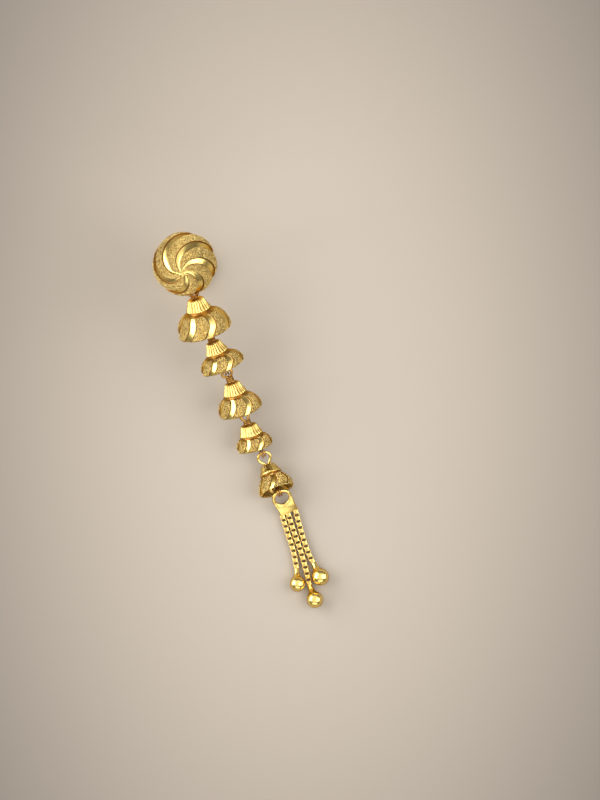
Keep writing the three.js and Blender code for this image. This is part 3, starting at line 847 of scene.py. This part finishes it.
class JHUMKA_OT_nut(bpy.types.Operator):
    """Make the eight-sided screw back"""

    bl_idname = "jhumka.nut"
    bl_label = "Screw Back"
    bl_options = {"REGISTER", "UNDO"}

    def execute(self, context):
        flat, thick, collar, top, bore = NUT_APOTHEM, NUT_THICKNESS, COLLAR_RADIUS, COLLAR_TOP, BORE_RADIUS
        rows = spread([
            (0, 0), (flat - 0.12, 0), (flat - 0.03, 0.03), (flat, 0.12), (flat, thick - 0.14),
            (flat - 0.04, thick - 0.04), (flat - 0.14, thick), (collar + 0.3, thick),
            (collar + 0.08, thick + 0.02), (collar, thick + 0.12), (collar, top - 0.12),
            (collar - 0.04, top - 0.03), (collar - 0.12, top), (bore + 0.08, top),
            (bore, top - 0.08), (bore, BORE_FOOT), (0, BORE_FOOT),
        ], [3, 2, 2, 4, 2, 2, 6, 2, 2, 8, 2, 2, 3, 2, 10, 3])
        mesh = turned_mesh("nut", rows, 176, self.sided)
        mesh.transform(Matrix.Translation(ZERO) @ Matrix.Scale(MM, 4))
        nut = shown("screw_nut", mesh, "nut_gold")
        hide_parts("screw_back")
        return {"FINISHED"}

    @staticmethod
    def sided(radius, height, around):
        """The plate has flat sides outside its round middle, and the collar is ribbed for the fingers."""
        sides, round_to, blend, ribs, rib_depth = 8, COLLAR_RADIUS + 0.2, 0.8, 22, 0.05
        if radius > round_to:
            turn = (around * sides + 0.5) % 1 - 0.5
            square = 1 / math.cos(turn * FULL_TURN / sides)
            return radius * (1 + (square - 1) * min(1, (radius - round_to) / blend))
        ribbed = NUT_THICKNESS + 0.1 < height < COLLAR_TOP - 0.05 and radius > COLLAR_RADIUS - 0.02
        return radius - (rib_depth * abs(math.sin(around * math.pi * ribs)) if ribbed else 0)


class JHUMKA_OT_bells(bpy.types.Operator):
    """Make the five petalled bells"""

    bl_idname = "jhumka.bells"
    bl_label = "Bells"
    bl_options = {"REGISTER", "UNDO"}

    def execute(self, context):
        relief = context.scene.jhumka_relief
        for number, bell in enumerate(BELLS, 1):
            skin = ring_mesh("bell", bell_rows(bell, relief.sheet / MM), relief.petals * COLUMNS_PER_PETAL,
                             ("radius", "depth", "petal", "rib", "groove", "down"))
            mesh = grown(skin, "petalled bell", "stippled_gold", {
                "Petals": relief.petals, "Turn": math.radians(bell["turn"]), "Ribs": relief.ribs,
                "Flute Depth": relief.flute_depth, "Petal Rise": relief.petal_rise,
                "Rib Depth": relief.rib_depth, "Stipple Depth": relief.stipple_depth,
                "Stipple Size": relief.stipple_size,
            }, frame_towards(placed(bell["cap"]), placed(bell["mouth"])))
            piece = shown(f"petal_bell_{number}", mesh, "stippled_gold")
            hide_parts(f"bell_{number}")
        return {"FINISHED"}


class JHUMKA_OT_links(bpy.types.Operator):
    """Make the wire links: an eye with a wrapped neck, a twisted shank and a doubled loop"""

    bl_idname = "jhumka.links"
    bl_label = "Wire Links"
    bl_options = {"REGISTER", "UNDO"}

    def execute(self, context):
        chain = context.scene.jhumka_chain
        # The link wires are darkened with painted shade for the shade between the bells; each loop below a
        # bell gets a fixed share.
        apart, thinner_wrap, thinner_loop, loop_shade = 0.16 * MM, 0.02 * MM, 0.01 * MM, 0.8
        for number, bell in enumerate(BELLS, 1):
            cap, above, below = placed(bell["cap"]), placed(HANGS[number - 1]), placed(HANGS[number])
            upward, reach = frame_towards(cap, above), (above - cap).length / MM
            neck = bell["neck"] * reach
            meshes = [wires([(self.eye(bell, upward, reach, neck), False)], chain.wire, bell["wire_shade"])]
            if neck:
                meshes.append(wires([(self.wrapping(upward, neck), False)], chain.loop_wire - thinner_wrap,
                                    bell["wire_shade"]))
            shank_end = (below - cap).length / MM - LOOP_RADIUS
            routes = self.shank(frame_towards(cap, below), shank_end) + doubled_loop(below, cap, apart)
            meshes.append(wires(routes, chain.loop_wire - thinner_loop, loop_shade))
            link = shown(f"wire_link_{number}", welded(meshes), "wire_gold")
            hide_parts(f"bell_link_{number}")
        return {"FINISHED"}

    @staticmethod
    def eye(bell, upward, reach, neck):
        """From inside the cap straight up the neck, round the eye and down again."""
        inside, least_neck, shoulder_width, shoulder_at = -0.3, 0.05, 0.86, 0.83
        half = bell["eye"]
        side = [(NECK_HALF, inside), (NECK_HALF, max(least_neck, neck)),
                (half, neck + (reach - neck) * bell["eye_at"]),
                (half * shoulder_width, neck + (reach - neck) * shoulder_at)]
        return [at(upward, x, 0, z) for x, z in side + [(0, reach)] + [(-x, z) for x, z in reversed(side)]]

    @staticmethod
    def wrapping(upward, neck):
        """The wire's end, wound round both legs of an eye from just above the cap to the neck's end."""
        foot, radius, pitch, steps = 0.2, 0.4, 0.23, 12
        turns = [n / steps for n in range(round((neck - foot) / pitch * steps) + 1)]
        return [at(upward, radius * math.cos(FULL_TURN * t), radius * math.sin(FULL_TURN * t),
                   foot + pitch * t) for t in turns]

    @staticmethod
    def shank(downward, end):
        """Two strands twisted round each other through the cap's hole, down to the loop."""
        radius, start, turns, steps = 0.1, -0.05, 2.5, 24
        strands = []
        for first in (0, math.pi):
            route = [(first + FULL_TURN * turns * n / steps, start + (end - start) * n / steps)
                     for n in range(steps + 1)]
            strands.append(([at(downward, radius * math.cos(a), radius * math.sin(a), deep)
                             for a, deep in route], False))
        return strands


class JHUMKA_OT_tassel_ring(bpy.types.Operator):
    """Make the ring and the fan plate that hold the tassel"""

    bl_idname = "jhumka.tassel_ring"
    bl_label = "Tassel Ring"
    bl_options = {"REGISTER", "UNDO"}

    def execute(self, context):
        top, foot = placed(HANGS[-1]), placed(PLATE_FOOT)
        downward, reach = frame_towards(top, foot), (foot - top).length / MM
        ring = [at(downward, RING_RADIUS * math.sin(a), 0, RING_RADIUS - RING_RADIUS * math.cos(a))
                for a in circle(24)]
        meshes = [wires([(ring, True)], RING_WIRE * MM, sides=20), self.plate(downward, reach)]
        loop_wide, loop_high, loop_wire, loop_back, loop_side = 0.3, 0.25, 0.1, 0.16, 0.02
        loops = []
        for strand in STRANDS:
            along, side = strand["route"][0]
            centre = placed((along - loop_back, side - loop_side), STRAND_LEVEL)
            loops.append(([centre + Vector((0, -loop_wide * math.cos(a), loop_high * math.sin(a))) * MM
                           for a in circle(10)], True))
        meshes.append(wires(loops, loop_wire * MM))
        piece = shown("fan_ring", welded(meshes), "wire_gold")
        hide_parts("tassel_ring")
        return {"FINISHED"}

    @staticmethod
    def plate(downward, reach):
        """A flat plate with rounded edges and a round bite where the ring lies."""
        shoulder, bite, arc, rounding, sharp = RING_RADIUS + 0.35, math.radians(17.5), 16, 0.12, 0.9
        outline = [(-1.28, shoulder), (-1.12, reach - 0.7), (-1.26, reach),
                   (1.26, reach), (1.2, reach - 0.7), (1.28, shoulder)]
        outline += [(RING_RADIUS * math.cos(a), RING_RADIUS + RING_RADIUS * math.sin(a))
                    for a in (bite + (math.pi - 2 * bite) * n / arc for n in range(arc + 1))]
        corners = len(outline)
        points = [at(downward, x, -PLATE_THICKNESS / 2, z) for x, z in outline]
        through = downward.col[1].to_3d().normalized() * PLATE_THICKNESS * MM
        points += [point + through for point in points]
        faces = [tuple(range(corners))[::-1], tuple(range(corners, 2 * corners))]
        faces += [(n, (n + 1) % corners, corners + (n + 1) % corners, corners + n) for n in range(corners)]
        blank = linked("plate", plain_mesh("plate", points, faces))
        bevel = blank.modifiers.new("edge", "BEVEL")
        bevel.width, bevel.segments = rounding * MM, 4
        bevel.limit_method, bevel.angle_limit = "ANGLE", sharp
        made = evaluated(blank)
        bpy.data.objects.remove(blank)
        return made


class JHUMKA_OT_strands(bpy.types.Operator):
    """Make the three box chains of the tassel"""

    bl_idname = "jhumka.strands"
    bl_label = "Box Chains"
    bl_options = {"REGISTER", "UNDO"}

    def execute(self, context):
        chain = context.scene.jhumka_chain
        link = linked("box_link", self.box_link(chain))
        for number, strand in enumerate(STRANDS, 1):
            points = [placed(spot, STRAND_LEVEL) for spot in strand["route"]]
            span = sum((b - a).length for a, b in zip(points, points[1:]))
            mesh = grown(curves([(points, False)]), "box chain", "chain_gold", {
                "Link": link, "Count": round(span / chain.link_pitch) + 1})
            piece = shown(f"box_chain_{number}", mesh, "chain_gold")
            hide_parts(f"chain_strand_{number}")
        bpy.data.objects.remove(link)
        return {"FINISHED"}

    @staticmethod
    def box_link(chain):
        """A square ring of flat band, bent in its own X and Y and broad in Z."""
        corner, steps, outer, inner = 0.11 * MM, 4, 0.03 * MM, 0.02 * MM
        band, broad = chain.band, chain.link_width * 0.42
        along, across = chain.link_length / 2 - corner, chain.link_width / 2 - corner
        section = [(0, -broad + outer), (0, broad - outer), (outer, broad), (band - inner, broad),
                   (band, broad - inner), (band, -broad + inner), (band - inner, -broad), (outer, -broad)]
        points = []
        for quarter, (sx, sy) in enumerate([(1, 1), (-1, 1), (-1, -1), (1, -1)]):
            for n in range(steps + 1):
                a = math.pi / 2 * (quarter + n / steps)
                points += [(sx * across + math.cos(a) * (corner - inset),
                            sy * along + math.sin(a) * (corner - inset), z) for inset, z in section]
        sides = len(section)
        rings = len(points) // sides
        faces = [(i * sides + j, i * sides + (j + 1) % sides,
                  (i + 1) % rings * sides + (j + 1) % sides, (i + 1) % rings * sides + j)
                 for i in range(rings) for j in range(sides)]
        mesh = plain_mesh("box_link", points, faces)
        if signed_volume(mesh) < 0:
            mesh.flip_normals()
        return mesh


class JHUMKA_OT_beads(bpy.types.Operator):
    """Make the hammered teardrop beads"""

    bl_idname = "jhumka.beads"
    bl_label = "End Beads"
    bl_options = {"REGISTER", "UNDO"}

    def execute(self, context):
        chain, plain_neck, columns = context.scene.jhumka_chain, 0.6, 64
        for number, strand in enumerate(STRANDS, 1):
            neck = placed(strand["neck"], STRAND_LEVEL)
            centre = placed(strand["bead"], strand["radius"])
            base = turned_mesh("bead", bead_rows(strand["radius"], (centre - neck).length / MM), columns)
            hammered = [min(1, max(0, v.co.z - plain_neck)) for v in base.vertices]
            base.attributes.new("ball", "FLOAT", "POINT").data.foreach_set("value", hammered)
            base.transform(frame_towards(neck, centre) @ Matrix.Scale(MM, 4))
            mesh = grown(base, "hammered bead", "polished_gold", {"Depth": chain.hammering})
            piece = shown(f"hammered_bead_{number}", mesh, "polished_gold")
            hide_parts(f"end_bead_{number}")
        return {"FINISHED"}


class JHUMKA_OT_stage(bpy.types.Operator):
    """Make the pale surface, the soft lights and the camera"""

    bl_idname = "jhumka.stage"
    bl_label = "Stage"
    bl_options = {"REGISTER", "UNDO"}

    def execute(self, context):
        scene, stage = context.scene, context.scene.jhumka_stage
        corners = [(x * SURFACE_HALF, y * SURFACE_HALF, SURFACE_LEVEL)
                   for x, y in ((-1, -1), (1, -1), (1, 1), (-1, 1))]
        mesh = plain_mesh("surface", corners, [(0, 1, 2, 3)])
        mesh.materials.append(floor_material(stage))
        surface = linked("surface", mesh)
        self.light_world(scene, stage.surround)
        for name, (right, up, high, wide, tall) in LIGHTS.items():
            spot = VIEW_RIGHT * right + VIEW_UP * up + UP * high
            self.soft_light(name, spot, wide, tall, getattr(stage, name))
        camera = linked("camera", bpy.data.cameras.new("camera"))
        camera.location = (*VIEW_CENTRE, stage.distance)
        camera.rotation_euler = (0, 0, VIEW_TURN)
        camera.data.sensor_width = SENSOR
        camera.data.lens = SENSOR * stage.distance / VIEW_HEIGHT
        camera.data.clip_start, camera.data.clip_end = 0.01, 10
        scene.camera = camera
        scene.view_settings.view_transform = "Standard"
        scene.view_settings.look = "None"
        return {"FINISHED"}

    @staticmethod
    def light_world(scene, strength):
        world = bpy.data.worlds.new("soft surround")
        scene.world = world
        world.use_nodes = True
        board = Board(world.node_tree)
        back = board.add("ShaderNodeBackground", None, {"Color": (1.0, 0.93, 0.82), "Strength": strength})
        board.add("ShaderNodeOutputWorld", None, {"Surface": back})

    @staticmethod
    def soft_light(name, spot, wide, tall, strength):
        data = bpy.data.lights.new(name, "AREA")
        data.shape, data.size, data.size_y = "RECTANGLE", wide, tall
        data.energy = strength * math.pi * wide * tall
        data.color = (1.0, 0.95, 0.86)
        lamp = linked(name, data)
        lamp.location = spot
        lamp.rotation_euler = (-spot).to_track_quat("-Z", "Y").to_euler()


OPERATORS = [
    JHUMKA_OT_ball, JHUMKA_OT_nut, JHUMKA_OT_bells, JHUMKA_OT_links,
    JHUMKA_OT_tassel_ring, JHUMKA_OT_strands, JHUMKA_OT_beads, JHUMKA_OT_stage,
]


class JHUMKA_PT_bench(bpy.types.Panel):
    """The jewel's parts and their settings"""

    bl_label = "Jhumka"
    bl_idname = "JHUMKA_PT_bench"
    bl_space_type = "VIEW_3D"
    bl_region_type = "UI"
    bl_category = "Jhumka"

    def draw(self, context):
        for name, group in SETTINGS.items():
            box = self.layout.box()
            settings = getattr(context.scene, f"jhumka_{name}")
            for key in group.__annotations__:
                box.prop(settings, key)
        for operator in OPERATORS:
            self.layout.operator(operator.bl_idname)


CLASSES = [*SETTINGS.values(), *OPERATORS, JHUMKA_PT_bench]


def register():
    for part in CLASSES:
        bpy.utils.register_class(part)
    for name, group in SETTINGS.items():
        setattr(bpy.types.Scene, f"jhumka_{name}", PointerProperty(type=group))


def unregister():
    for name in SETTINGS:
        delattr(bpy.types.Scene, f"jhumka_{name}")
    for part in reversed(CLASSES):
        bpy.utils.unregister_class(part)


def main():
    register()
    for operator in OPERATORS:
        group, name = operator.bl_idname.split(".")
        getattr(getattr(bpy.ops, group), name)()


if __name__ == "__main__":
    main()
